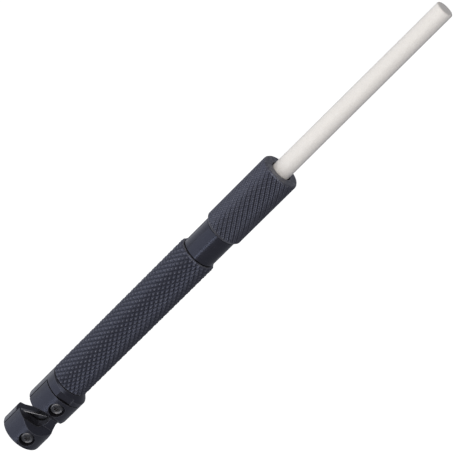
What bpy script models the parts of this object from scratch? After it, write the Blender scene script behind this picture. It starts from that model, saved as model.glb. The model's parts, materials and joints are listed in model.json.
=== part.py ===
"""Pocket sharpening steel: an abrasive rod in a knurled collar, screwed into a knurled barrel
handle, with a two-part head at the rear that holds a V notch of two crossing carbide inserts.

Frame, in metres: the barrel's axis is the X axis and the rod's tip points to +X. The origin is
where that axis meets the head's end face. The V notch opens to +Y, and the screws face +Z.
Run with: blender --background --python part.py
"""

import math

import bmesh
import bpy

# Driving dimensions, in metres.
GAP = 0.0003  # between pieces that touch
FINE_GAP = 0.00015  # round small pins and the rod
OVERSHOOT = 0.001  # how far a cutter reaches past the end it opens
TURNED_SIDES = 40
HEAD_SIDES = 72
SMALL_SIDES = 20

HEAD_RADIUS = 0.00715
HEAD_CENTRE_Y = -0.00095  # the head is eccentric, so that it is flush on the notch's side
HEAD_END_ROUND = 0.0003
COVER_LENGTH = 0.0226
RING_END = 0.0261
RING_CONE_START = 0.0236  # where the cone down to the barrel leaves the ring's far side
PARTING_Z = 0.00125
PARTING_GAP = 0.00045  # the cover is clamped on the carbides and doesn't meet the body

NOTCH_SQUARE_X = 0.0135  # the notch's wall on the handle's side
NOTCH_FLOOR_Y = -0.0033
WINDOW_X = 0.0084  # the cover's window starts here
WINDOW_FLOOR_Y = -0.0031
WINDOW_CORNER = 0.0024
SCOOP_FRONT = ((0.0067, 0.0073), (0.0093, 0.0039), (0.0130, 0.0039), (0.0161, 0.0073))
SCOOP_BACK = ((0.0050, -0.0073), (0.0074, -0.0030), (0.0136, -0.0030), (0.0160, -0.0073))
SCOOP_UNDER = ((0.0048, -0.0076), (0.0053, -0.0067), (0.0121, -0.0047), (0.0137, -0.0047))
SCOOP_UNDER_END = ((0.0146, -0.0067), (0.0149, -0.0076))

CROSSING = (0.01116, -0.0030)  # where the two carbides' edges cross
CARBIDE_PROUD = 0.0003
CARBIDE_THICK = 0.0012
CARBIDE_WIDTH = 0.0021
CARBIDE_SLOPES = {"carbide_insert_rear": -0.44, "carbide_insert_front": 0.30}  # run in X per Y
CARBIDE_REACH = {"carbide_insert_rear": 0.0078, "carbide_insert_front": 0.0074}
CARBIDE_TAIL = 0.0009  # how far each bar runs on past the crossing
CARBIDE_BEVEL = 0.00015

SCREW_PLACES = {"cover_screw_rear": 0.0036, "cover_screw_front": 0.0186}
SCREW_Y = -0.0012
SCREW_HEAD_RADIUS = 0.00205
SCREW_HEAD_HEIGHT = 0.0015
SCREW_RIM = (0.0004, 0.0003)  # the rim's width and its chamfers
SCREW_TOP_Z = 0.0064
SCREW_SHANK_RADIUS = 0.00125
SCREW_END_Z = -0.0036
SCREW_SOCKET_RADIUS = 0.0009
SCREW_SOCKET_DEPTH = 0.0009
COUNTERBORE_RADIUS = 0.0026
TAPPED_END_Z = -0.0042
PRY_POCKET = ((0.0222, 0.0250), (-0.0030, 0.0021), 0.0064)  # X span, Y span, floor height

SPIGOT_RADIUS = 0.0040
SPIGOT_END = 0.0337
BOLT_RADIUS = 0.0020
BOLT_TIP = 0.0245
BOLT_HEAD = (0.0386, 0.0414, 0.0035)  # start, end, radius
BOLT_SOCKET = (0.0018, 0.0017)  # depth, radius over its corners
WASHER = (0.0367, 0.0373, 0.0038)
LOCK_WASHER = (0.0376, 0.0383, 0.0034)
DOWEL = (0.0240, 0.0288, 0.0005)
DOWEL_Y = -0.00535
BUMPER = (0.0417, 0.0432, 0.0040)

BARREL_START = 0.0264
BARREL_END = 0.0884
BARREL_RADIUS = 0.0064
BARREL_EDGE = 0.0006
BARREL_WALL = (0.0340, 0.0364)  # the inner wall that the bolt pulls on
STORAGE_RADIUS = 0.0043
THREAD_START = 0.0755
THREAD_BORE_RADIUS = 0.0053

NECK_RADIUS = 0.0055
NECK_SPIGOT_RADIUS = 0.0050
NECK_SPIGOT_START = 0.0767
NECK_BORE_RADIUS = 0.0036
NECK_SHOULDER = 0.0988
NECK_SLEEVE_RADIUS = 0.00485
NECK_END = 0.1120
O_RING_GROOVE = (0.0857, 0.0871, 0.0040)
O_RING_CENTRE = (0.0864, 0.00465)
O_RING_SECTION = 0.0004

COLLAR_START = 0.0991
COLLAR_END = 0.12615
COLLAR_RADIUS = 0.00635
COLLAR_REAR_CHAMFER = (0.0012, 0.0009)
COLLAR_MOUTH_CHAMFER = (0.0006, 0.00045)
COLLAR_CHAMBER = (0.1123, 0.1238, 0.0046)
COLLAR_MOUTH_RADIUS = 0.00345
LINING_RADIUS = 0.0043  # outer radius of the rings and the bush in the collar
GRIP_RINGS = {"rod_grip_ring_rear": (0.1137, 0.1155), "rod_grip_ring_front": (0.1160, 0.1178)}
MOUTH_BUSH = (0.1182, 0.1235)

ROD_RADIUS = 0.0030
ROD_TIP_RADIUS = 0.00285
ROD_TIP_CHAMFER = 0.00025
ROD_END = 0.1959
ROD_ROOT = 0.1096
ROD_ROOT_RADIUS = 0.00245
FERRULE = (0.1085, 0.1133, 0.00335)
FERRULE_FLOOR = 0.1093
PIN_X = 0.1113
PIN_RADIUS = 0.0005
PIN_HALF_LENGTH = 0.0032
PIN_HOLE_REACH = 0.005


def clear_scene():
    for obj in list(bpy.data.objects):
        bpy.data.objects.remove(obj, do_unlink=True)


def look(name, colour, roughness, metallic):
    """A Principled material for one sub-part."""
    material = bpy.data.materials.new(name)
    material.use_nodes = True
    shader = material.node_tree.nodes["Principled BSDF"]
    shader.inputs["Base Color"].default_value = (*colour, 1.0)
    shader.inputs["Roughness"].default_value = roughness
    shader.inputs["Metallic"].default_value = metallic
    return material


def finish(name, mesh_data, material, smooth=True):
    """Puts a bmesh into a named object, closed and facing out."""
    bmesh.ops.recalc_face_normals(mesh_data, faces=mesh_data.faces)
    mesh = bpy.data.meshes.new(name)
    mesh_data.to_mesh(mesh)
    mesh_data.free()
    if material:
        mesh.materials.append(material)
    if smooth:
        mesh.shade_smooth()
        mesh.set_sharp_from_angle(angle=math.radians(35))
    obj = bpy.data.objects.new(name, mesh)
    bpy.context.scene.collection.objects.link(obj)
    return obj


def turned(name, outline, material=None, sides=TURNED_SIDES, centre_y=0.0):
    """A piece turned about the X axis from a closed outline of (x, radius) points.

    A point on the axis closes the piece there with one flat end face.
    """
    mesh = bmesh.new()
    rings = []
    for x, radius in outline:
        ring = []
        for side in range(sides if radius else 0):
            angle = 2 * math.pi * side / sides
            y = centre_y + radius * math.sin(angle)
            ring.append(mesh.verts.new((x, y, radius * math.cos(angle))))
        rings.append(ring)
    for here, there in zip(rings, rings[1:] + rings[:1]):
        if here and there:
            for side in range(sides):
                after = (side + 1) % sides
                mesh.faces.new((here[side], here[after], there[after], there[side]))
        elif here or there:
            mesh.faces.new(here or there)
    return finish(name, mesh, material)


def tube(name, start, end, outer, inner, material, sides=TURNED_SIDES):
    """A plain sleeve along X."""
    outline = [(start, inner), (end, inner), (end, outer), (start, outer)]
    return turned(name, outline, material, sides)


def rod_along_x(name, start, end, radius, material=None, sides=SMALL_SIDES, chamfer=0.0):
    """A solid round bar along X, its far edge chamfered."""
    outline = [(start, 0.0), (end, 0.0), (end, radius - chamfer)]
    if chamfer:
        outline.append((end - chamfer, radius))
    outline.append((start, radius))
    return turned(name, outline, material, sides)


def prism(name, outline, low, high, along="Z", material=None):
    """An outline of (x, y) points stood up along Z, or of (x, z) points along Y."""
    mesh = bmesh.new()
    ends = []
    for level in (low, high):
        if along == "Z":
            corners = [mesh.verts.new((u, v, level)) for u, v in outline]
        else:
            corners = [mesh.verts.new((u, level, v)) for u, v in outline]
        ends.append(corners)
        mesh.faces.new(corners)
    count = len(outline)
    for index in range(count):
        after = (index + 1) % count
        mesh.faces.new((ends[0][index], ends[0][after], ends[1][after], ends[1][index]))
    return finish(name, mesh, material, smooth=False)


def box(name, x_span, y_span, z_span):
    (x0, x1), (y0, y1) = x_span, y_span
    return prism(name, [(x0, y0), (x1, y0), (x1, y1), (x0, y1)], *z_span)


def stand_up(obj, x, y):
    """Turns a piece made along +X so that it stands along +Z at (x, y)."""
    obj.rotation_euler = (0.0, -math.pi / 2, 0.0)
    obj.location = (x, y, 0.0)
    return obj


def combine(target, other, operation="DIFFERENCE"):
    """Keeps a Boolean on the target, with the other piece as a hidden guide."""
    modifier = target.modifiers.new(other.name, "BOOLEAN")
    modifier.operation = operation
    modifier.solver = "EXACT"
    modifier.object = other
    other.hide_render = True
    other.display_type = "WIRE"


def carbide_outline(name, grow=0.0):
    """A carbide seen from +Z, grown on every side but its working edge."""
    slope = CARBIDE_SLOPES[name]
    x, y = CROSSING
    top = CARBIDE_REACH[name] + grow
    tail = -CARBIDE_TAIL - grow
    back = math.copysign((CARBIDE_WIDTH + grow) * math.hypot(1.0, slope), slope)
    return [
        (x + slope * tail, y + tail),
        (x + slope * top, y + top),
        (x + slope * top + back, y + top),
        (x + slope * tail + back, y + tail),
    ]


def head_blank(name, material):
    """The whole eccentric head as one bar, with its ring's cone turned on the barrel's axis."""
    outline = [
        (0.0, 0.0),
        (RING_END, 0.0),
        (RING_END, HEAD_RADIUS),
        (HEAD_END_ROUND, HEAD_RADIUS),
        (0.0, HEAD_RADIUS - HEAD_END_ROUND),
    ]
    blank = turned(name, outline, material, HEAD_SIDES, HEAD_CENTRE_Y)
    clear = HEAD_RADIUS * 2
    cone = [
        (RING_END + GAP, BARREL_RADIUS - 2 * GAP),
        (RING_END + GAP, clear),
        (RING_CONE_START - GAP, clear),
        (RING_CONE_START - GAP, HEAD_RADIUS - HEAD_CENTRE_Y + GAP),
    ]
    combine(blank, turned(name + "_cone", cone, sides=HEAD_SIDES))
    return blank


def face_scoop(name, outline):
    """A valley across a face, given as (x, z) points, that lets a blade in at an angle."""
    clear = math.copysign(2 * HEAD_RADIUS, outline[0][1])
    closed = [*outline, (outline[-1][0], clear), (outline[0][0], clear)]
    return prism(name, closed, -2 * HEAD_RADIUS, 2 * HEAD_RADIUS, along="Y")


def under_scoop(name):
    """The valley across the side opposite the notch."""
    points = [*SCOOP_UNDER, *SCOOP_UNDER_END]
    outline = [(x, HEAD_CENTRE_Y + depth) for x, depth in points]
    clear = -2 * HEAD_RADIUS
    outline += [(SCOOP_UNDER_END[-1][0], clear), (SCOOP_UNDER[0][0], clear)]
    return prism(name, outline, -2 * HEAD_RADIUS, 2 * HEAD_RADIUS)


def notch_cutter(name):
    """The notch in the head's body: slanted behind the rear carbide, square at the front."""
    slope = CARBIDE_SLOPES["carbide_insert_rear"]
    setback = CARBIDE_PROUD * math.hypot(1.0, slope)
    top = 2 * HEAD_RADIUS
    outline = [
        (CROSSING[0] + slope * (top - CROSSING[1]) - setback, top),
        (CROSSING[0] - setback, NOTCH_FLOOR_Y),
        (NOTCH_SQUARE_X, NOTCH_FLOOR_Y),
        (NOTCH_SQUARE_X, top),
    ]
    return prism(name, outline, -2 * HEAD_RADIUS, 2 * HEAD_RADIUS)


def window_cutter(name):
    """The cover's window: square sides and one round corner, wider than the V below it."""
    top = 2 * HEAD_RADIUS
    corner_x = WINDOW_X + WINDOW_CORNER
    corner_y = WINDOW_FLOOR_Y + WINDOW_CORNER
    outline = [(WINDOW_X, top)]
    steps = 8
    for step in range(steps + 1):
        angle = math.pi * (1.0 + 0.5 * step / steps)
        x = corner_x + WINDOW_CORNER * math.cos(angle)
        outline.append((x, corner_y + WINDOW_CORNER * math.sin(angle)))
    outline += [(NOTCH_SQUARE_X, WINDOW_FLOOR_Y), (NOTCH_SQUARE_X, top)]
    return prism(name, outline, 0.0, 2 * HEAD_RADIUS)


def carbide_top(name):
    """The rear carbide lies at the parting plane, and the front one under it."""
    top = PARTING_Z - PARTING_GAP / 2
    return top if name == "carbide_insert_rear" else top - CARBIDE_THICK - GAP


def carbide_insert(name, material):
    """A small bar with bevelled edges, its working edge in the notch."""
    top = carbide_top(name)
    bar = prism(name, carbide_outline(name), top - CARBIDE_THICK, top, material=material)
    bevel = bar.modifiers.new("edges", "BEVEL")
    bevel.width = CARBIDE_BEVEL
    bevel.segments = 1


def dowel_hole(name, start, end):
    hole = rod_along_x(name, start, end, DOWEL[2] + FINE_GAP, sides=12)
    hole.location.y = DOWEL_Y
    return hole


def head_body(material):
    """The back half of the head, with the ring, the spigot and the carbides' pockets."""
    body = head_blank("head_body", material)
    wide = 2 * HEAD_RADIUS
    spigot = rod_along_x("spigot", RING_END - 10 * GAP, SPIGOT_END, SPIGOT_RADIUS, sides=32, chamfer=GAP)
    combine(body, spigot, "UNION")
    body_top = PARTING_Z - PARTING_GAP / 2
    combine(body, box("cover_space", (-OVERSHOOT, COVER_LENGTH), (-wide, wide), (body_top, wide)))
    combine(body, notch_cutter("body_notch"))
    combine(body, face_scoop("body_scoop_back", SCOOP_BACK))
    combine(body, under_scoop("body_scoop_under"))
    for name in CARBIDE_SLOPES:
        floor = carbide_top(name) - CARBIDE_THICK - GAP
        combine(body, prism(name + "_pocket", carbide_outline(name, GAP), floor, wide))
    for name, x in SCREW_PLACES.items():
        hole = rod_along_x(name + "_tapped", TAPPED_END_Z, wide, SCREW_SHANK_RADIUS + GAP)
        combine(body, stand_up(hole, x, SCREW_Y))
    combine(body, rod_along_x("bolt_thread", BOLT_TIP - GAP, wide * 3, BOLT_RADIUS + GAP))
    combine(body, dowel_hole("head_dowel_hole", DOWEL[0] - GAP, BARREL_START))
    x_span, y_span, floor = PRY_POCKET
    combine(body, box("pry_pocket", x_span, y_span, (floor, wide)))


def head_cover(material):
    """The front half of the head, clamped by the two screws."""
    cover = head_blank("head_cover", material)
    wide = 2 * HEAD_RADIUS
    under = PARTING_Z + PARTING_GAP / 2
    kept = box("cover_part", (-OVERSHOOT, COVER_LENGTH - GAP), (-wide, wide), (under, wide))
    combine(cover, kept, "INTERSECT")
    combine(cover, window_cutter("cover_window"))
    combine(cover, face_scoop("cover_scoop_front", SCOOP_FRONT))
    combine(cover, under_scoop("cover_scoop_under"))
    head_seat = SCREW_TOP_Z - SCREW_HEAD_HEIGHT - GAP
    for name, x in SCREW_PLACES.items():
        hole = rod_along_x(name + "_hole", 0.0, wide, SCREW_SHANK_RADIUS + GAP)
        combine(cover, stand_up(hole, x, SCREW_Y))
        seat = rod_along_x(name + "_seat", head_seat, wide, COUNTERBORE_RADIUS, sides=24)
        combine(cover, stand_up(seat, x, SCREW_Y))
    return cover


def six_lobe_outline():
    """The screws' socket: six round lobes about the screw's own axis."""
    points = []
    for step in range(24):
        angle = 2 * math.pi * step / 24
        radius = SCREW_SOCKET_RADIUS * (1.0 + 0.16 * math.cos(6 * angle))
        points.append((radius * math.cos(angle), radius * math.sin(angle)))
    return points


def cover_screw(name, x, material):
    """A socket screw with a raised rim, standing along +Z."""
    under = SCREW_TOP_Z - SCREW_HEAD_HEIGHT
    rim_width, rim_chamfer = SCREW_RIM
    rim = SCREW_HEAD_RADIUS - rim_width
    outline = [
        (SCREW_END_Z, 0.0),
        (SCREW_TOP_Z - GAP, 0.0),
        (SCREW_TOP_Z - GAP, rim - rim_chamfer),
        (SCREW_TOP_Z, rim),
        (SCREW_TOP_Z - rim_chamfer, SCREW_HEAD_RADIUS),
        (under, SCREW_HEAD_RADIUS),
        (under, SCREW_SHANK_RADIUS),
        (SCREW_END_Z, SCREW_SHANK_RADIUS),
    ]
    screw = turned(name, outline, material, SMALL_SIDES)
    stand_up(screw, x, SCREW_Y)
    socket_floor = SCREW_TOP_Z - SCREW_SOCKET_DEPTH - GAP
    socket = prism(name + "_socket", six_lobe_outline(), socket_floor, 2 * SCREW_TOP_Z)
    socket.location = (x, SCREW_Y, 0.0)
    combine(screw, socket)
    return screw


def head_bolt(material):
    """The bolt that pulls the head's spigot into the barrel, with a hex socket."""
    start, end, radius = BOLT_HEAD
    outline = [
        (BOLT_TIP, 0.0),
        (end, 0.0),
        (end, radius - GAP),
        (end - GAP, radius),
        (start, radius),
        (start, BOLT_RADIUS),
        (BOLT_TIP, BOLT_RADIUS),
    ]
    bolt = turned("head_bolt", outline, material, 24)
    depth, corner_radius = BOLT_SOCKET
    socket = rod_along_x("bolt_socket", end - depth, end + OVERSHOOT, corner_radius, sides=6)
    combine(bolt, socket)
    return bolt


def barrel(material):
    """The handle's tube: rear socket, inner wall, storage bore and threaded mouth."""
    socket_radius = SPIGOT_RADIUS + GAP
    outline = [
        (BARREL_START, socket_radius),
        (BARREL_WALL[0], socket_radius),
        (BARREL_WALL[0], BOLT_RADIUS + GAP),
        (BARREL_WALL[1], BOLT_RADIUS + GAP),
        (BARREL_WALL[1], STORAGE_RADIUS),
        (THREAD_START, STORAGE_RADIUS),
        (THREAD_START, THREAD_BORE_RADIUS),
        (BARREL_END, THREAD_BORE_RADIUS),
        (BARREL_END, BARREL_RADIUS - BARREL_EDGE),
        (BARREL_END - BARREL_EDGE, BARREL_RADIUS),
        (BARREL_START + BARREL_EDGE / 2, BARREL_RADIUS),
        (BARREL_START, BARREL_RADIUS - BARREL_EDGE / 2),
    ]
    tube_part = turned("barrel", outline, material)
    combine(tube_part, dowel_hole("barrel_dowel_hole", RING_END, DOWEL[1] + GAP))
    return tube_part


def neck_tube(material):
    """The smooth neck: threaded spigot with a seal groove, neck, and a sleeve in the collar."""
    groove_start, groove_end, groove_radius = O_RING_GROOVE
    outline = [
        (NECK_SPIGOT_START, NECK_BORE_RADIUS),
        (NECK_END, NECK_BORE_RADIUS),
        (NECK_END, NECK_SLEEVE_RADIUS),
        (NECK_SHOULDER, NECK_SLEEVE_RADIUS),
        (NECK_SHOULDER, NECK_RADIUS),
        (BARREL_END + GAP, NECK_RADIUS),
        (BARREL_END + GAP, NECK_SPIGOT_RADIUS),
        (groove_end, NECK_SPIGOT_RADIUS),
        (groove_end, groove_radius),
        (groove_start, groove_radius),
        (groove_start, NECK_SPIGOT_RADIUS),
        (NECK_SPIGOT_START + GAP, NECK_SPIGOT_RADIUS),
        (NECK_SPIGOT_START, NECK_SPIGOT_RADIUS - GAP),
    ]
    return turned("neck_tube", outline, material)


def o_ring(material):
    """The spigot's seal, a ring of round section."""
    centre_x, centre_radius = O_RING_CENTRE
    sides = 8
    outline = []
    for side in range(sides):
        angle = 2 * math.pi * (side + 0.5) / sides
        x = centre_x + O_RING_SECTION * math.cos(angle)
        outline.append((x, centre_radius + O_RING_SECTION * math.sin(angle)))
    return turned("neck_o_ring", outline, material, 32)


def knurled_collar(material):
    """The rod's collar: rear socket for the neck, lining chamber and open mouth."""
    chamber_start, chamber_end, chamber_radius = COLLAR_CHAMBER
    rear_radius = NECK_SLEEVE_RADIUS + GAP
    outline = [
        (COLLAR_START, rear_radius),
        (chamber_start, rear_radius),
        (chamber_start, chamber_radius),
        (chamber_end, chamber_radius),
        (chamber_end, COLLAR_MOUTH_RADIUS),
        (COLLAR_END, COLLAR_MOUTH_RADIUS),
        (COLLAR_END, COLLAR_RADIUS - COLLAR_MOUTH_CHAMFER[1]),
        (COLLAR_END - COLLAR_MOUTH_CHAMFER[0], COLLAR_RADIUS),
        (COLLAR_START + COLLAR_REAR_CHAMFER[0], COLLAR_RADIUS),
        (COLLAR_START, COLLAR_RADIUS - COLLAR_REAR_CHAMFER[1]),
    ]
    return turned("knurled_collar", outline, material)


def diamond_rod(material):
    """The abrasive rod: a slight taper, a chamfered tip and a turned-down root."""
    shoulder = FERRULE[1] + GAP
    outline = [
        (ROD_ROOT, 0.0),
        (ROD_END, 0.0),
        (ROD_END, ROD_TIP_RADIUS - ROD_TIP_CHAMFER),
        (ROD_END - ROD_TIP_CHAMFER, ROD_TIP_RADIUS),
        (COLLAR_END, ROD_RADIUS),
        (shoulder, ROD_RADIUS),
        (shoulder, ROD_ROOT_RADIUS),
        (ROD_ROOT, ROD_ROOT_RADIUS),
    ]
    rod = turned("diamond_rod", outline, material, 32)
    combine(rod, pin_hole("rod_pin_hole"))
    return rod


def pin_hole(name):
    radius = PIN_RADIUS + FINE_GAP
    hole = rod_along_x(name, -PIN_HOLE_REACH, PIN_HOLE_REACH, radius, sides=12)
    return stand_up(hole, PIN_X, 0.0)


def rod_ferrule(material):
    """The cup on the rod's root, too wide to pass the collar's lining."""
    start, end, radius = FERRULE
    inner = ROD_ROOT_RADIUS + GAP
    outline = [
        (start, 0.0),
        (FERRULE_FLOOR, 0.0),
        (FERRULE_FLOOR, inner),
        (end, inner),
        (end, radius),
        (start + GAP, radius),
        (start, radius - GAP),
    ]
    ferrule = turned("rod_ferrule", outline, material, 28)
    combine(ferrule, pin_hole("ferrule_pin_hole"))
    return ferrule


def ferrule_pin(material):
    pin = rod_along_x("ferrule_pin", -PIN_HALF_LENGTH, PIN_HALF_LENGTH, PIN_RADIUS, material, 12)
    return stand_up(pin, PIN_X, 0.0)


def handle_group():
    """Everything that stays with the barrel."""
    black = look("black_oxide", (0.035, 0.036, 0.042), 0.42, 0.6)
    knurl_black = look("black_knurl", (0.04, 0.041, 0.047), 0.5, 0.6)
    carbide = look("carbide", (0.24, 0.24, 0.25), 0.35, 1.0)
    steel = look("steel", (0.5, 0.5, 0.5), 0.3, 1.0)
    screw_black = look("screw_black", (0.03, 0.03, 0.033), 0.35, 0.7)
    rubber = look("rubber", (0.02, 0.02, 0.02), 0.8, 0.0)
    head_body(black)
    head_cover(black)
    for name in CARBIDE_SLOPES:
        carbide_insert(name, carbide)
    for name, x in SCREW_PLACES.items():
        cover_screw(name, x, screw_black)
    barrel(knurl_black)
    head_bolt(steel)
    tube("head_bolt_washer", *WASHER, BOLT_RADIUS + GAP, steel, sides=24)
    tube("head_bolt_lock_washer", *LOCK_WASHER, BOLT_RADIUS + GAP, steel, sides=24)
    dowel = rod_along_x("index_dowel", *DOWEL, steel, 12)
    dowel.location.y = DOWEL_Y
    rod_along_x("storage_bumper", *BUMPER, rubber, 28)


def holder_group():
    """The neck, collar and lining, which unscrew together, and the seal they carry."""
    black = look("black_neck", (0.035, 0.036, 0.042), 0.4, 0.6)
    collar_black = look("black_collar", (0.04, 0.041, 0.047), 0.5, 0.6)
    seal_rubber = look("seal_rubber", (0.015, 0.015, 0.015), 0.6, 0.0)
    grip_rubber = look("grip_rubber", (0.02, 0.02, 0.02), 0.75, 0.0)
    bush_plastic = look("bush_plastic", (0.05, 0.045, 0.04), 0.5, 0.0)
    o_ring(seal_rubber)
    neck_tube(black)
    knurled_collar(collar_black)
    lining_bore = ROD_RADIUS + FINE_GAP
    for name, (start, end) in GRIP_RINGS.items():
        tube(name, start, end, LINING_RADIUS, lining_bore, grip_rubber, sides=28)
    tube("mouth_bush", *MOUTH_BUSH, LINING_RADIUS, lining_bore, bush_plastic, sides=28)


def rod_group():
    """The rod with its ferrule and cross pin, which slide in the collar."""
    abrasive = look("abrasive_coating", (0.66, 0.64, 0.6), 0.55, 0.3)
    brass = look("brass", (0.62, 0.46, 0.2), 0.35, 1.0)
    pin_steel = look("pin_steel", (0.5, 0.5, 0.5), 0.3, 1.0)
    diamond_rod(abrasive)
    rod_ferrule(brass)
    ferrule_pin(pin_steel)


clear_scene()
handle_group()
holder_group()
rod_group()
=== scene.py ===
"""Looks of the pocket sharpening steel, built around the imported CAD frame.

Every piece takes its outline from its own CAD node and adds what the CAD leaves plain: cut
knurling, screw threads, sockets, rounded edges and worn finishes. Everything is in metres.
"""

import json
import math

import bmesh
import bpy
import numpy as np
from mathutils import Matrix, Vector


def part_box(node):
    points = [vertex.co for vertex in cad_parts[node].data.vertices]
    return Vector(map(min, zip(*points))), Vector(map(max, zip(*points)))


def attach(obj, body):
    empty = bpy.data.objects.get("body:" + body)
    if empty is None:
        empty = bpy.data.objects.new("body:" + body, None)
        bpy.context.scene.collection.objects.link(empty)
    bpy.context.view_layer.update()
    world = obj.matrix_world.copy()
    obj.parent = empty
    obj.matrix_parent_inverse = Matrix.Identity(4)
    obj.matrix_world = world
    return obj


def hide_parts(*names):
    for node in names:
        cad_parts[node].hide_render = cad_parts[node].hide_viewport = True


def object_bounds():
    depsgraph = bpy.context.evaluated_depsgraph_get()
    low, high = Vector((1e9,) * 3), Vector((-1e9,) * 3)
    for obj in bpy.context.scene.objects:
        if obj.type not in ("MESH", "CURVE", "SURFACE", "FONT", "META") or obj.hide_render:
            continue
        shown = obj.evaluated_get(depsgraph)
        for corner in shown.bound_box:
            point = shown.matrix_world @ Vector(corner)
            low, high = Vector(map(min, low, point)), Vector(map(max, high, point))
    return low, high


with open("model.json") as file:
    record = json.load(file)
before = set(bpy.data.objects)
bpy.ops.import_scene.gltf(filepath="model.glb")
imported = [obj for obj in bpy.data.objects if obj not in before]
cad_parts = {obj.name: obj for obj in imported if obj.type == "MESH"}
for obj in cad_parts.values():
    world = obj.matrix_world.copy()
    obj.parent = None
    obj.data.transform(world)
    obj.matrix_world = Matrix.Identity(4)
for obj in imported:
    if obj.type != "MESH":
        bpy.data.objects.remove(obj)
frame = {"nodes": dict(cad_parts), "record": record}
CAD_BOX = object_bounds()

BODY_OF = {n: b for b, nodes in frame["record"]["behaviour"]["bodies"].items() for n in nodes}

MM = 0.001
TINY = 0.01 * MM
FULL_TURN = 2 * math.pi

# Edges and turned pieces.
EDGE_ROUND = 0.12 * MM
SUPPORT = 1.8  # an edge's support point lies this many roundings from the corner
ARC_STEPS = 4
SIDES = 96
HEAD_EDGE = 0.1 * MM
CARBIDE_EDGE = 0.04 * MM

# Knurling: V grooves wound round the bar in both directions.
KNURL_STARTS = 25
KNURL_PERIOD = 2.53 * MM  # along the axis
BARREL_GROOVES = {"depth": 0.42 * MM, "samples": 10, "finer": 1, "share": 1.0, "crest": 0.86}
COLLAR_GROOVES = {"depth": 0.3 * MM, "samples": 14, "finer": 2, "share": 0.6, "crest": 0.84}
SHALLOW = 0.6  # every second groove of the finer knurl's strong hand, against the deep ones

# Screw threads.
NECK_THREAD = {"pitch": 1.5 * MM, "depth": 0.38 * MM}
BOLT_THREAD = {"pitch": 0.7 * MM, "depth": 0.28 * MM}
SCREW_THREAD = {"pitch": 0.45 * MM, "depth": 0.18 * MM}
THREAD_SAMPLES = 8
THREAD_CREST = 1.6  # how steep the flanks are
THREAD_RELIEF = 0.4 * MM  # plain stretch before the seal's groove
PLAIN_SHANK = 2.5 * MM  # under a cover screw's head

# The lights, and the world's faint light all round.
LIGHT_DISTANCE = 0.6
WORLD_COLOUR = (0.87, 0.9, 1.0)
WORLD_STRENGTH = 0.31

# The camera: it leans from straight above the screws' face by these angles.
CAMERA_TURN = math.radians(24.5)  # towards the rod's tip
CAMERA_LEAN = math.radians(22.0)  # towards the notch's side
CAMERA_ROLL = math.radians(44.69)
CAMERA_DISTANCE = 0.668
CAMERA_LENS = 177.6
CAMERA_AIM = (101.07 * MM, -0.85 * MM)  # along the tool, and across it

# ---------------------------------------------------------------- outlines


def section(node, axis="X"):
    """A turned CAD node's outline of (along, radius) points, whether it is closed, and its centre.

    The points are those of the node's mesh on the +Y side of its axis, in order.
    """
    low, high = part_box(node)
    centre = (low + high) / 2
    along, side = (0, 2) if axis == "X" else (2, 0)
    points = {}
    for vertex in frame["nodes"][node].data.vertices:
        place = vertex.co
        if abs(place[side] - centre[side]) < TINY / 4 and place.y > centre.y:
            points[vertex.index] = (round(place[along], 7), round(place.y - centre.y, 7))
    links = {point: set() for point in points.values()}
    for edge in frame["nodes"][node].data.edges:
        first, second = (points.get(index) for index in edge.vertices)
        if first and second and first != second:
            links[first].add(second)
            links[second].add(first)
    loose = sorted(point for point, joined in links.items() if len(joined) < 2)
    for first, second in zip(loose, loose[1:]):
        if first[0] == second[0]:
            links[first].add(second)
            links[second].add(first)
    ends = sorted(point for point, joined in links.items() if len(joined) < 2)
    outline = [ends[0] if ends else min(links)]
    while True:
        ahead = [point for point in sorted(links[outline[-1]]) if point not in outline]
        if not ahead:
            break
        outline.append(ahead[0])
    return outline, not ends, centre


def rounded(outline, closed, size=EDGE_ROUND):
    """The outline with each corner turned into a small arc between two support points."""
    last = len(outline) - 1
    smooth = []
    for index, here in enumerate(outline):
        before, after = outline[index - 1], outline[(index + 1) % len(outline)]
        if not closed and index == 0:
            before = (here[0], 0.0)
        if not closed and index == last:
            after = (here[0], 0.0)
        corner = Vector(here)
        back, ahead = Vector(before) - corner, Vector(after) - corner
        cut = min(size, 0.3 * back.length, 0.3 * ahead.length)
        back.normalize()
        ahead.normalize()
        smooth.append(corner + back * cut * SUPPORT)
        for step in range(ARC_STEPS + 1):
            share = step / ARC_STEPS
            smooth.append(corner + back * cut * (1.0 - share) ** 2 + ahead * cut * share**2)
        smooth.append(corner + ahead * cut * SUPPORT)
    return [tuple(point) for point in smooth]


def level_span(outline, radius):
    """Where the longest stretch at this radius starts and ends."""
    spans = [
        sorted((here[0], there[0]))
        for here, there in zip(outline, outline[1:] + outline[:1])
        if abs(here[1] - radius) < TINY and abs(there[1] - radius) < TINY
    ]
    return max(spans, key=lambda span: span[1] - span[0])


def refined(outline, radius, rows):
    """The outline with the longest stretch at this radius cut into rows."""
    span = level_span(outline, radius)
    points = []
    for here, there in zip(outline, outline[1:] + outline[:1]):
        points.append(here)
        if sorted((here[0], there[0])) == span and abs(there[1] - radius) < TINY:
            shares = [row / rows for row in range(1, rows)]
            points += [(here[0] + (there[0] - here[0]) * share, radius) for share in shares]
    return points


# ---------------------------------------------------------------- reliefs


def ridge(phase):
    """A triangle wave: 0 in a groove, 1 on the crest between two grooves."""
    return 1.0 - np.abs(2.0 * (phase % 1.0) - 1.0)


def plain(along, radius, angles):
    """No relief: the ring stays round."""
    return np.full(len(angles), radius)


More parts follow.
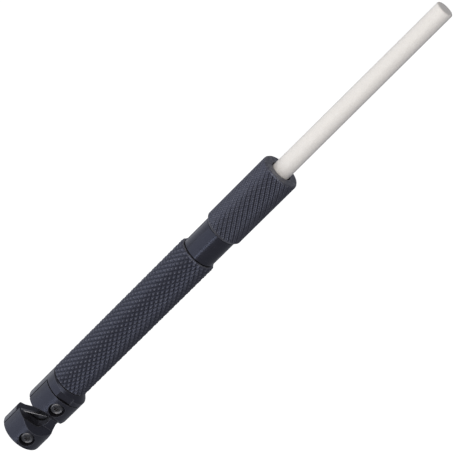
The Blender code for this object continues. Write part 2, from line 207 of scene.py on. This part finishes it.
def knurl_heights(along, angles, start, period, grooves):
    """Heights left by the grooves of each hand, 0 to 1."""
    turn = KNURL_STARTS * angles / FULL_TURN
    advance = (along - start) / period
    phase = turn - advance
    strong = ridge(grooves["finer"] * phase)
    if grooves["finer"] > 1:
        second = np.abs(phase % 1.0 - 0.5) < 0.25
        strong = np.where(second, 1.0 - SHALLOW * (1.0 - strong), strong)
    weak = ridge(grooves["finer"] * (turn + advance))
    return strong, 1.0 - grooves["share"] * (1.0 - weak)


def knurled(outer, start, period, grooves):
    """Relief of a knurl cut into the outer radius."""

    def relief(along, radius, angles):
        height = np.minimum(*knurl_heights(along, angles, start, period, grooves))
        height = np.minimum(height / grooves["crest"], 1.0)
        return np.minimum(radius, outer - grooves["depth"] * (1.0 - height))

    return relief


def knurl_lean(start, period, grooves):
    """Which way each mesh cell's diagonal leans, so that it follows the nearer groove."""

    def lean(along, angles):
        strong, weak = knurl_heights(along, angles, start, period, grooves)
        return strong < weak

    return lean


def threaded(radius, low, high, pitch, depth, inside=False):
    """Relief of a right-hand thread on the stretch from low to high at this radius."""

    def relief(along, at, angles):
        if abs(at - radius) > TINY or not low <= along <= high:
            return plain(along, at, angles)
        wave = ridge(along / pitch + angles / FULL_TURN)
        flank = np.clip(THREAD_CREST * (wave - 0.5) + 0.5, 0.0, 1.0)
        return at + depth * (1.0 - flank) if inside else at - depth * (1.0 - flank)

    return relief


def socketed(limit, shape):
    """Relief of a driving socket: rings inside this radius take the shape, a factor of the angle."""

    def relief(along, radius, angles):
        return radius * shape(angles) if radius < limit else plain(along, radius, angles)

    return relief


def six_lobes(angles):
    """Six round lobes. The outline is cut at a waist, where the factor is 1."""
    depth = 0.16
    return (1.0 + depth * np.cos(6 * angles)) / (1.0 - depth)


def hexagon(angles):
    """Six flats, 1 at the middle of each."""
    sector = FULL_TURN / 6
    return 1.0 / np.cos((angles % sector) - sector / 2)


def chosen(*reliefs):
    """The first relief that changes the ring, or none."""

    def relief(along, radius, angles):
        for shape in reliefs:
            radii = shape(along, radius, angles)
            if np.any(np.abs(radii - radius) > 0):
                return radii
        return plain(along, radius, angles)

    return relief


# ---------------------------------------------------------------- meshes


def stand_for(piece, node):
    """The piece takes the CAD node's place and body."""
    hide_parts(node)
    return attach(piece, BODY_OF[node])


def new_object(name, mesh, materials, sharp=38.0):
    for material in materials:
        mesh.materials.append(material)
    mesh.shade_smooth()
    mesh.set_sharp_from_angle(angle=math.radians(sharp))
    obj = bpy.data.objects.new(name, mesh)
    bpy.context.scene.collection.objects.link(obj)
    return obj


def closed_mesh(name, vertices, faces):
    """A mesh with every face turned outwards."""
    mesh = bpy.data.meshes.new(name)
    mesh.from_pydata(vertices, [], faces)
    work = bmesh.new()
    work.from_mesh(mesh)
    bmesh.ops.recalc_face_normals(work, faces=work.faces)
    work.to_mesh(mesh)
    work.free()
    return mesh


def band(here, there, sides, lean=None):
    """Faces between two rings: quads, or triangles whose diagonals lean as told."""
    around = np.arange(sides)
    after = (around + 1) % sides
    a, b, c, d = here + around, here + after, there + after, there + around
    if lean is None:
        return np.stack([a, b, c, d], axis=1).tolist()
    first = np.where(lean[:, None], np.stack([a, b, c], axis=1), np.stack([a, b, d], axis=1))
    second = np.where(lean[:, None], np.stack([a, c, d], axis=1), np.stack([b, c, d], axis=1))
    return first.tolist() + second.tolist()


def ring_points(along, radii, angles, centre, axis):
    """A ring's points. Angles run from +Z to +Y round X, and from +Y to +X round Z."""
    across, up = radii * np.cos(angles), radii * np.sin(angles)
    level = np.full(len(angles), along)
    if axis == "X":
        return np.stack([level, centre[1] + up, centre[2] + across], axis=1)
    return np.stack([centre[0] + up, centre[1] + across, level], axis=1)


def turned(name, outline, closed, centre, relief=plain, sides=SIDES, axis="X", lean=None):
    """Turns an outline round its axis, with the relief's radii and a "hollow" value at each point."""
    angles = np.arange(sides) * FULL_TURN / sides
    rings, hollow = [], []
    for along, radius in outline:
        radii = relief(along, radius, angles)
        rings.append(ring_points(along, radii, angles, centre, axis))
        hollow.append(np.abs(radii - radius))
    vertices = np.concatenate(rings).tolist()
    hollow = np.concatenate(hollow)
    faces = []
    count = len(outline)
    half_side = math.pi / sides
    for index in range(count if closed else count - 1):
        (x0, r0), (x1, r1) = outline[index], outline[(index + 1) % count]
        cut = lean and abs(r0 - r1) < TINY and np.ptp(hollow[index * sides : (index + 1) * sides])
        leans = lean((x0 + x1) / 2, angles + half_side) if cut else None
        if cut and x1 < x0:
            leans = ~leans
        faces += band(index * sides, (index + 1) % count * sides, sides, leans)
    if not closed:
        for index in (0, count - 1):
            along = outline[index][0]
            hub = len(vertices)
            vertices.append((along, *centre[1:]) if axis == "X" else (*centre[:2], along))
            hollow = np.append(hollow, 0.0)
            ring = index * sides
            faces += [(ring + side, ring + (side + 1) % sides, hub) for side in range(sides)]
    mesh = closed_mesh(name, vertices, faces)
    hollow /= max(float(hollow.max()), TINY)
    mesh.attributes.new("hollow", "FLOAT", "POINT").data.foreach_set("value", hollow)
    return mesh


def drill(obj, axis, centre, radius, low, high):
    """Cuts a round hole through the object and keeps the result as its mesh."""
    start = (low, *centre) if axis == "X" else (*centre, low)
    outline = [(low, radius), (high, radius)]
    mesh = turned("drill", outline, False, start, sides=32, axis=axis)
    cutter = bpy.data.objects.new("drill", mesh)
    bpy.context.scene.collection.objects.link(cutter)
    modifier = obj.modifiers.new("hole", "BOOLEAN")
    modifier.object = cutter
    modifier.solver = "EXACT"
    result = bpy.data.meshes.new_from_object(obj.evaluated_get(bpy.context.evaluated_depsgraph_get()))
    obj.modifiers.clear()
    obj.data = result
    bpy.data.objects.remove(cutter)


def simple(node, material, size=EDGE_ROUND, sides=SIDES, axis="X"):
    """A turned piece that only needs its edges rounded."""
    outline, closed, centre = section(node, axis)
    mesh = turned(node + "_fine", rounded(outline, closed, size), closed, centre, sides=sides, axis=axis)
    return stand_for(new_object(node + "_fine", mesh, [material]), node)


def knurled_piece(node, material, grooves, size, extra=None):
    """A turned piece with a knurl all over its outer radius. extra gives (outline, relief) for more."""
    outline, closed, centre = section(node)
    outer = max(radius for _, radius in outline)
    outline = rounded(outline, closed, size)
    start, end = level_span(outline, outer)
    samples = grooves["samples"]
    rows = round((end - start) / KNURL_PERIOD * samples)
    period = (end - start) / rows * samples
    outline = refined(outline, outer, rows)
    relief = knurled(outer, start, period, grooves)
    if extra:
        outline, more = extra(outline)
        relief = chosen(more, relief)
    lean = knurl_lean(start, period, grooves)
    sides = KNURL_STARTS * samples
    mesh = turned(node + "_fine", outline, closed, centre, relief, sides, lean=lean)
    return stand_for(new_object(node + "_fine", mesh, [material], 25.0), node)


def barrel(material):
    """The handle's tube, knurled outside and threaded inside its mouth."""
    outline, _, _ = section("barrel")
    end = max(x for x, _ in outline)
    bore = min(radius for x, radius in outline if x == end)

    def mouth_thread(points):
        low, high = level_span(points, bore)
        rows = round((high - low) / NECK_THREAD["pitch"] * THREAD_SAMPLES)
        return refined(points, bore, rows), threaded(bore, low, high, inside=True, **NECK_THREAD)

    piece = knurled_piece("barrel", material, BARREL_GROOVES, 0.06 * MM, mouth_thread)
    low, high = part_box("index_dowel")
    middle = (low + high) / 2
    radius = (high.z - low.z) / 2 + 0.15 * MM
    drill(piece, "X", (middle.y, middle.z), radius, low.x, high.x + 0.3 * MM)
    return piece


def neck_tube(material):
    """The neck, with its threaded spigot and the seal's groove."""
    outline, closed, centre = section("neck_tube")
    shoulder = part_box("knurled_collar")[0].x - 0.05 * MM  # the collar butts against it
    widest = max(radius for _, radius in outline)
    far = max(x for x, radius in outline if radius == widest)
    outline = [(shoulder if x == far else x, radius) for x, radius in outline]
    start = min(x for x, _ in outline)
    spigot = max(radius for x, radius in outline if x < start + MM)
    outline = rounded(outline, closed)
    low, high = level_span(outline, spigot)
    rows = round((high - low) / NECK_THREAD["pitch"] * THREAD_SAMPLES)
    outline = refined(outline, spigot, rows)
    relief = threaded(spigot, low, high - THREAD_RELIEF, **NECK_THREAD)
    mesh = turned("neck_tube_fine", outline, closed, centre, relief, 128)
    return stand_for(new_object("neck_tube_fine", mesh, [material]), "neck_tube")


def cover_screw(node, material):
    """A six-lobe socket screw with its thread."""
    outline, closed, centre = section(node, "Z")
    socket = outline[-1][1]
    shank = outline[0][1]
    outline = rounded(outline, closed, 0.07 * MM)
    low, high = level_span(outline, shank)
    outline = refined(outline, shank, round((high - low) / SCREW_THREAD["pitch"] * THREAD_SAMPLES))
    thread = threaded(shank, low, high - PLAIN_SHANK, **SCREW_THREAD)
    relief = chosen(thread, socketed(socket * 1.3, six_lobes))
    mesh = turned(node + "_fine", outline, closed, centre, relief, 72, "Z")
    return stand_for(new_object(node + "_fine", mesh, [material]), node)


def head_bolt(material):
    """The socket-head bolt: a thread, a fine straight knurl on its head and a hexagon socket."""
    outline, closed, centre = section("head_bolt")
    shank = outline[0][1]
    head = max(radius for _, radius in outline)
    socket, socket_depth = 1.45 * MM, 1.8 * MM
    end = outline[-1][0]
    outline = rounded(outline + [(end, socket), (end - socket_depth, socket)], closed, 0.1 * MM)
    low, high = level_span(outline, shank)
    outline = refined(outline, shank, round((high - low) / BOLT_THREAD["pitch"] * THREAD_SAMPLES))
    thread = threaded(shank, low, high - MM, **BOLT_THREAD)
    teeth, tooth = 36, 0.12 * MM

    def straight_knurl(along, radius, angles):
        if abs(radius - head) > TINY:
            return plain(along, radius, angles)
        return radius - tooth * (1.0 - ridge(teeth * angles / FULL_TURN))

    relief = chosen(thread, straight_knurl, socketed(socket * 1.3, hexagon))
    mesh = turned("head_bolt_fine", outline, closed, centre, relief, teeth * 4)
    return stand_for(new_object("head_bolt_fine", mesh, [material]), "head_bolt")


def lock_washer(material):
    """A split spring washer: a squared wire wound almost once round, its ends sprung apart."""
    node = "head_bolt_lock_washer"
    outline, _, centre = section(node)
    inner, outer = min(r for _, r in outline), max(r for _, r in outline)
    start, end = min(x for x, _ in outline), max(x for x, _ in outline)
    stations, corner = 72, 0.06 * MM
    gap_angle, spring = math.radians(9.0), 0.14 * MM
    thick = end - start - spring
    profile = [
        (corner, inner),
        (thick - corner, inner),
        (thick, inner + corner),
        (thick, outer - corner),
        (thick - corner, outer),
        (corner, outer),
        (0.0, outer - corner),
        (0.0, inner + corner),
    ]
    count = len(profile)
    vertices = []
    for station in range(stations + 1):
        share = station / stations
        angle = gap_angle / 2 + (FULL_TURN - gap_angle) * share
        for along, radius in profile:
            up, across = radius * math.sin(angle), radius * math.cos(angle)
            vertices.append((start + along + spring * share, centre.y + up, centre.z + across))
    faces = []
    for station in range(stations):
        faces += band(station * count, (station + 1) * count, count)
    faces += [list(range(count)), list(range(stations * count, (stations + 1) * count))]
    mesh = closed_mesh(node + "_fine", vertices, faces)
    return stand_for(new_object(node + "_fine", mesh, [material]), node)


def machined(node, materials, width, sharp=30.0):
    """The CAD node's own shape, its facets merged and its edges bevelled. Materials: faces, edges."""
    mesh = frame["nodes"][node].data.copy()
    mesh.name = node + "_fine"
    mesh.materials.clear()
    work = bmesh.new()
    work.from_mesh(mesh)
    bmesh.ops.remove_doubles(work, verts=work.verts, dist=TINY / 5)
    flat = math.radians(0.5)
    bmesh.ops.dissolve_limit(work, angle_limit=flat, verts=work.verts, edges=work.edges)
    bmesh.ops.remove_doubles(work, verts=work.verts, dist=4 * TINY)
    work.to_mesh(mesh)
    work.free()
    obj = new_object(node + "_fine", mesh, materials, sharp)
    bevel = obj.modifiers.new("edges", "BEVEL")
    bevel.width = width
    bevel.segments = 3
    bevel.limit_method = "ANGLE"
    bevel.angle_limit = math.radians(sharp)
    bevel.use_clamp_overlap = False
    bevel.material = len(materials) - 1
    weighted = obj.modifiers.new("normals", "WEIGHTED_NORMAL")
    weighted.keep_sharp = True
    return stand_for(obj, node)


# ---------------------------------------------------------------- materials


def add(tree, kind, inputs=None, **settings):
    """A node with its settings, and its inputs set to a value or joined to another node's output."""
    node = tree.nodes.new(kind)
    for key, value in settings.items():
        setattr(node, key, value)
    for key, value in (inputs or {}).items():
        if isinstance(value, bpy.types.NodeSocket):
            tree.links.new(value, node.inputs[key])
        else:
            node.inputs[key].default_value = value
    return node


def rgba(colour, gain=1.0):
    return (*(channel * gain for channel in colour), 1.0)


def noise(tree, size, detail=2.0, stretch=(1.0, 1.0, 1.0)):
    """Noise whose spots are about size across, drawn out by stretch along each axis."""
    place = add(tree, "ShaderNodeTexCoord").outputs["Object"]
    scale = tuple(1.0 / (size * amount) for amount in stretch)
    mapped = add(tree, "ShaderNodeMapping", {"Vector": place, "Scale": scale})
    inputs = {"Vector": mapped.outputs[0], "Scale": 1.0, "Detail": detail, "Roughness": 0.55}
    return add(tree, "ShaderNodeTexNoise", inputs).outputs["Fac"]


def remap(tree, value, low, high, to_low=0.0, to_high=1.0):
    """The value's stretch from low to high, clamped, as to_low to to_high."""
    inputs = {"Value": value, "From Min": low, "From Max": high, "To Min": to_low, "To Max": to_high}
    return add(tree, "ShaderNodeMapRange", inputs).outputs["Result"]


def maths(tree, operation, first, second):
    return add(tree, "ShaderNodeMath", {0: first, 1: second}, operation=operation).outputs[0]


def mixed(tree, share, first, second):
    """A colour between two, by share."""
    node = add(tree, "ShaderNodeMix", data_type="RGBA")
    for socket, value in ((node.inputs[0], share), (node.inputs[6], first), (node.inputs[7], second)):
        if isinstance(value, bpy.types.NodeSocket):
            tree.links.new(value, socket)
        else:
            socket.default_value = value
    return node.outputs[2]


def bumped(tree, height, depth, strength=1.0, below=None):
    inputs = {"Height": height, "Distance": depth, "Strength": strength}
    if below:
        inputs["Normal"] = below
    return add(tree, "ShaderNodeBump", inputs).outputs["Normal"]


def finish(material, base, roughness, metallic=0.0, normal=None, **fixed):
    """Ends a material: base, roughness and normal are values or node outputs."""
    tree = material.node_tree
    shader = tree.nodes["Principled BSDF"]
    given = {"Base Color": base, "Roughness": roughness, "Metallic": metallic, "Normal": normal}
    for key, value in given.items():
        if isinstance(value, bpy.types.NodeSocket):
            tree.links.new(value, shader.inputs[key])
        elif value is not None:
            shader.inputs[key].default_value = value
    for key, value in fixed.items():
        shader.inputs[key.replace("_", " ")].default_value = value
    return material


def new_material(name):
    material = bpy.data.materials.new(name)
    material.use_nodes = True
    return material


ANODISED = (0.0175, 0.0165, 0.0195)
ANODISED_SHEEN = (0.64, 0.71, 1.0, 1.0)  # what it reflects is tinted blue
BARE_METAL = (0.34, 0.34, 0.35)
DUST = (0.4, 0.4, 0.42)


def anodised(name, roughness, lathe_lines=0.0, wear=0.0):
    """Satin black anodising: faint mottling, a blasted grain, hairline marks and worn spots."""
    material = new_material(name)
    tree = material.node_tree
    mottle = noise(tree, 1.6 * MM, 4.0)
    colour = mixed(tree, mottle, rgba(ANODISED, 0.8), rgba(ANODISED, 1.25))
    hairs = noise(tree, 0.09 * MM, 1.0, (22.0, 1.0, 1.0))
    hair_mask = remap(tree, hairs, 0.68, 0.78)
    colour = mixed(tree, maths(tree, "MULTIPLY", hair_mask, 0.25), colour, rgba(BARE_METAL, 0.4))
    if wear:
        rubbed = noise(tree, 0.3 * MM, 4.0)
        worn = remap(tree, rubbed, 0.35, 0.75, 0.3 * wear, wear)
        colour = mixed(tree, worn, colour, rgba(BARE_METAL, 0.5))
    grain = noise(tree, 0.05 * MM, 2.0)
    normal = bumped(tree, grain, 0.0022 * MM, 0.6)
    if lathe_lines:
        lines = noise(tree, 0.07 * MM, 1.0, (1.0, 60.0, 60.0))
        normal = bumped(tree, lines, lathe_lines, 0.5, normal)
    smudge = noise(tree, 3.0 * MM, 3.0)
    gloss = remap(tree, smudge, 0.3, 0.7, roughness - 0.04, roughness + 0.06)
    sheen = {"Specular_Tint": ANODISED_SHEEN, "Specular_IOR_Level": 0.5}
    return finish(material, colour, gloss, 0.0, normal, **sheen)


def knurl_black():
    """Anodised knurling: painted shade in its grooves, darker with their depth, rubbed grey on its crests,
    with specks of dust.
    """
    material = new_material("black_knurl")
    tree = material.node_tree
    hollow = add(tree, "ShaderNodeAttribute", attribute_name="hollow").outputs["Fac"]
    mottle = noise(tree, 1.3 * MM, 4.0)
    colour = mixed(tree, mottle, rgba(ANODISED, 1.6), rgba(ANODISED, 2.5))
    # painted shade: the colour darkens with groove depth (the hollow value), in place of the shade in the
    # grooves
    colour = mixed(tree, remap(tree, hollow, 0.3, 1.0), colour, rgba(ANODISED, 0.5))
    crest = remap(tree, hollow, 0.0, 0.22, 1.0, 0.0)
    rubbed = remap(tree, noise(tree, 0.9 * MM, 5.0), 0.45, 0.68, 0.1, 0.75)
    colour = mixed(tree, maths(tree, "MULTIPLY", crest, rubbed), colour, rgba(BARE_METAL, 0.55))
    dust = remap(tree, noise(tree, 0.16 * MM, 1.0), 0.72, 0.76)
    colour = mixed(tree, maths(tree, "MULTIPLY", dust, 0.35), colour, rgba(DUST))
    gloss = remap(tree, hollow, 0.0, 0.6, 0.3, 0.46)
    normal = bumped(tree, noise(tree, 0.06 * MM, 2.0), 0.004 * MM, 0.6)
    sheen = {"Specular_Tint": ANODISED_SHEEN, "Specular_IOR_Level": 0.8}
    return finish(material, colour, gloss, 0.0, normal, **sheen)


def metal(name, colour, roughness, stretch, line=0.05 * MM, depth=0.003 * MM, stain=0.75):
    """Bare metal with its cutting or grinding lines drawn out by stretch, and faint stains."""
    material = new_material(name)
    tree = material.node_tree
    lines = noise(tree, line, 2.0, stretch)
    cloud = noise(tree, 1.8 * MM, 4.0)
    base = mixed(tree, remap(tree, cloud, 0.35, 0.7), rgba(colour), rgba(colour, stain))
    gloss = remap(tree, lines, 0.3, 0.7, roughness - 0.06, roughness + 0.08)
    return finish(material, base, gloss, 1.0, bumped(tree, lines, depth, 0.7))


def abrasive():
    """Diamond grit set in nickel: pale grains with lighter facets and a few bright ones."""
    material = new_material("abrasive")
    tree = material.node_tree
    place = add(tree, "ShaderNodeTexCoord").outputs["Object"]
    grains = add(tree, "ShaderNodeTexVoronoi", {"Vector": place, "Scale": 1.0 / (0.11 * MM)})
    chance = add(tree, "ShaderNodeSeparateColor", {"Color": grains.outputs["Color"]}).outputs["Red"]
    pale, dark, bright = (0.90, 0.855, 0.79), (0.79, 0.75, 0.69), (0.95, 0.93, 0.89)
    colour = mixed(tree, remap(tree, chance, 0.0, 0.75), rgba(dark), rgba(pale))
    colour = mixed(tree, remap(tree, chance, 0.93, 0.95), colour, rgba(bright))
    cloud = remap(tree, noise(tree, 5.0 * MM, 4.0, (3.0, 1.0, 1.0)), 0.35, 0.7, 0.0, 0.16)
    colour = mixed(tree, cloud, colour, rgba((0.70, 0.675, 0.65)))
    gloss = remap(tree, chance, 0.9, 0.95, 0.52, 0.25)
    height = maths(tree, "SUBTRACT", 1.0, remap(tree, grains.outputs["Distance"], 0.0, 0.8))
    normal = bumped(tree, height, 0.012 * MM, 0.5)
    return finish(material, colour, gloss, 0.0, normal)


def moulded(name, colour, roughness):
    """Rubber or plastic: a fine moulded grain, bloom and paler smears."""
    material = new_material(name)
    tree = material.node_tree
    bloom = remap(tree, noise(tree, 2.2 * MM, 5.0), 0.4, 0.75, 0.0, 0.6)
    base = mixed(tree, bloom, rgba(colour), rgba(colour, 2.2))
    gloss = remap(tree, noise(tree, 0.8 * MM, 3.0), 0.3, 0.7, roughness - 0.1, roughness + 0.08)
    normal = bumped(tree, noise(tree, 0.08 * MM, 3.0), 0.006 * MM, 0.6)
    return finish(material, base, gloss, 0.0, normal)


# ---------------------------------------------------------------- the pieces


def build_handle():
    head_black = anodised("black_head", 0.27)
    head_edge = anodised("black_head_edge", 0.25, wear=0.4)
    carbide = metal("carbide", (0.25, 0.25, 0.26), 0.3, (12.0, 1.0, 1.0), 0.03 * MM)
    steel = metal("steel", (0.58, 0.58, 0.59), 0.26, (1.0, 40.0, 40.0))
    screw = metal("screw_black", (0.17, 0.168, 0.175), 0.36, (1.0, 1.0, 30.0), stain=0.6)
    barrel(knurl_black())
    machined("head_body", [head_black, head_edge], HEAD_EDGE)
    machined("head_cover", [head_black, head_edge], HEAD_EDGE)
    for node in ("carbide_insert_rear", "carbide_insert_front"):
        machined(node, [carbide], CARBIDE_EDGE)
    for node in ("cover_screw_rear", "cover_screw_front"):
        cover_screw(node, screw)
    head_bolt(steel)
    lock_washer(steel)
    simple("head_bolt_washer", steel)
    simple("index_dowel", steel, 0.15 * MM, 48)
    simple("storage_bumper", moulded("bumper_rubber", (0.02, 0.02, 0.021), 0.75), 0.35 * MM)


def build_holder():
    rubber = moulded("rubber", (0.018, 0.018, 0.02), 0.6)
    knurled_piece("knurled_collar", knurl_black(), COLLAR_GROOVES, 0.08 * MM)
    neck_tube(anodised("black_neck", 0.24, lathe_lines=0.004 * MM))
    simple("neck_o_ring", rubber, 0.16 * MM)
    for node in ("rod_grip_ring_rear", "rod_grip_ring_front"):
        simple(node, rubber, 0.3 * MM)
    simple("mouth_bush", moulded("bush_plastic", (0.05, 0.044, 0.038), 0.45), 0.2 * MM)


def build_rod():
    brass = metal("brass", (0.72, 0.53, 0.24), 0.28, (1.0, 40.0, 40.0), stain=0.8)
    pin_steel = metal("pin_steel", (0.56, 0.56, 0.57), 0.28, (1.0, 1.0, 30.0))
    low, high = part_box("ferrule_pin")
    middle = (low + high) / 2
    radius = (high.x - low.x) / 2 + 0.1 * MM
    reach = 5.0 * MM
    for piece in (simple("diamond_rod", abrasive(), 0.14 * MM, 128), simple("rod_ferrule", brass)):
        drill(piece, "Z", (middle.x, middle.y), radius, -reach, reach)
    simple("ferrule_pin", pin_steel, 0.15 * MM, 48, "Z")


# ---------------------------------------------------------------- stage


def tool_axes():
    """Unit vectors from the tool: out to the camera's side, and across it, both square to X."""
    out = Vector((0.0, math.sin(CAMERA_LEAN), math.cos(CAMERA_LEAN)))
    across = Vector((0.0, math.cos(CAMERA_LEAN), -math.sin(CAMERA_LEAN)))
    return out, across


def place_camera():
    out, across = tool_axes()
    back = math.cos(CAMERA_TURN) * out + math.sin(CAMERA_TURN) * Vector((1, 0, 0))
    along = (Vector((1, 0, 0)) - back.x * back).normalized()
    right = math.cos(CAMERA_ROLL) * along - math.sin(CAMERA_ROLL) * across
    up = math.sin(CAMERA_ROLL) * along + math.cos(CAMERA_ROLL) * across
    camera = bpy.data.objects.new("camera", bpy.data.cameras.new("camera"))
    camera.data.lens = CAMERA_LENS
    camera.data.clip_start = 0.01
    bpy.context.scene.collection.objects.link(camera)
    pose = Matrix((right, up, back)).transposed().to_4x4()
    aim = Vector((CAMERA_AIM[0], 0, 0)) + CAMERA_AIM[1] * across
    pose.translation = aim + CAMERA_DISTANCE * back
    camera.matrix_world = pose
    bpy.context.scene.camera = camera


def softbox(name, turn, tilt, size, radiance, colour):
    """A soft light, placed by its angle round the tool from the camera's side and its tilt along it."""
    out, across = tool_axes()
    turn, tilt = math.radians(turn), math.radians(tilt)
    ring = math.cos(turn) * out + math.sin(turn) * across
    direction = math.cos(tilt) * ring + math.sin(tilt) * Vector((1, 0, 0))
    light = bpy.data.lights.new(name, "AREA")
    light.shape = "RECTANGLE"
    light.size, light.size_y = size
    light.energy = radiance * math.pi * size[0] * size[1]
    light.color = colour
    obj = bpy.data.objects.new(name, light)
    bpy.context.scene.collection.objects.link(obj)
    side = Vector((1, 0, 0)).cross(direction).normalized()
    pose = Matrix((side.cross(direction), side, direction)).transposed().to_4x4()
    pose.translation = Vector((sum(corner.x for corner in CAD_BOX) / 2, 0, 0)) + LIGHT_DISTANCE * direction
    obj.matrix_world = pose
    obj.visible_camera = False


def studio():
    world = bpy.data.worlds.new("studio")
    bpy.context.scene.world = world
    world.use_nodes = True
    background = world.node_tree.nodes["Background"]
    background.inputs["Color"].default_value = rgba(WORLD_COLOUR)
    background.inputs["Strength"].default_value = WORLD_STRENGTH
    bpy.context.scene.view_settings.view_transform = "Standard"
    softbox("strip", -4, -24, (0.7, 0.07), 4.0, (0.97, 0.98, 1.0))
    softbox("panel", 40, -24, (0.7, 0.75), 1.0, (0.94, 0.96, 1.0))
    softbox("side", 112, -24, (0.7, 0.65), 0.75, (0.95, 0.97, 1.0))
    softbox("key", 6, 30, (0.5, 0.5), 2.0, (1.0, 0.965, 0.92))


def pale_floor():
    """A white sweep that rises round the tool far away, seen by the camera only."""
    outline = [(0.6, 0.0), (1.2, 0.0), (1.8, 0.05), (2.4, 0.25), (2.9, 0.7), (3.1, 1.6)]
    sides = 96
    vertices = []
    for radius, height in outline:
        for side in range(sides):
            angle = FULL_TURN * side / sides
            x, y = radius * math.cos(angle), radius * math.sin(angle)
            vertices.append((x, y, CAD_BOX[0].z + height))
    faces = []
    for index in range(len(outline) - 1):
        faces += band(index * sides, (index + 1) * sides, sides)
    faces.append(list(range(sides)))
    mesh = bpy.data.meshes.new("floor")
    mesh.from_pydata(vertices, [], faces)
    mesh.shade_smooth()
    white = finish(new_material("floor_white"), rgba((0.9, 0.9, 0.9)), 1.0, Emission_Strength=1.0)
    white.node_tree.nodes["Principled BSDF"].inputs["Emission Color"].default_value = rgba((1, 1, 1))
    mesh.materials.append(white)
    floor = bpy.data.objects.new("floor", mesh)
    bpy.context.scene.collection.objects.link(floor)
    floor.visible_diffuse = False
    floor.visible_glossy = False
    floor.visible_shadow = False


build_handle()
build_holder()
build_rod()
studio()
pale_floor()
place_camera()
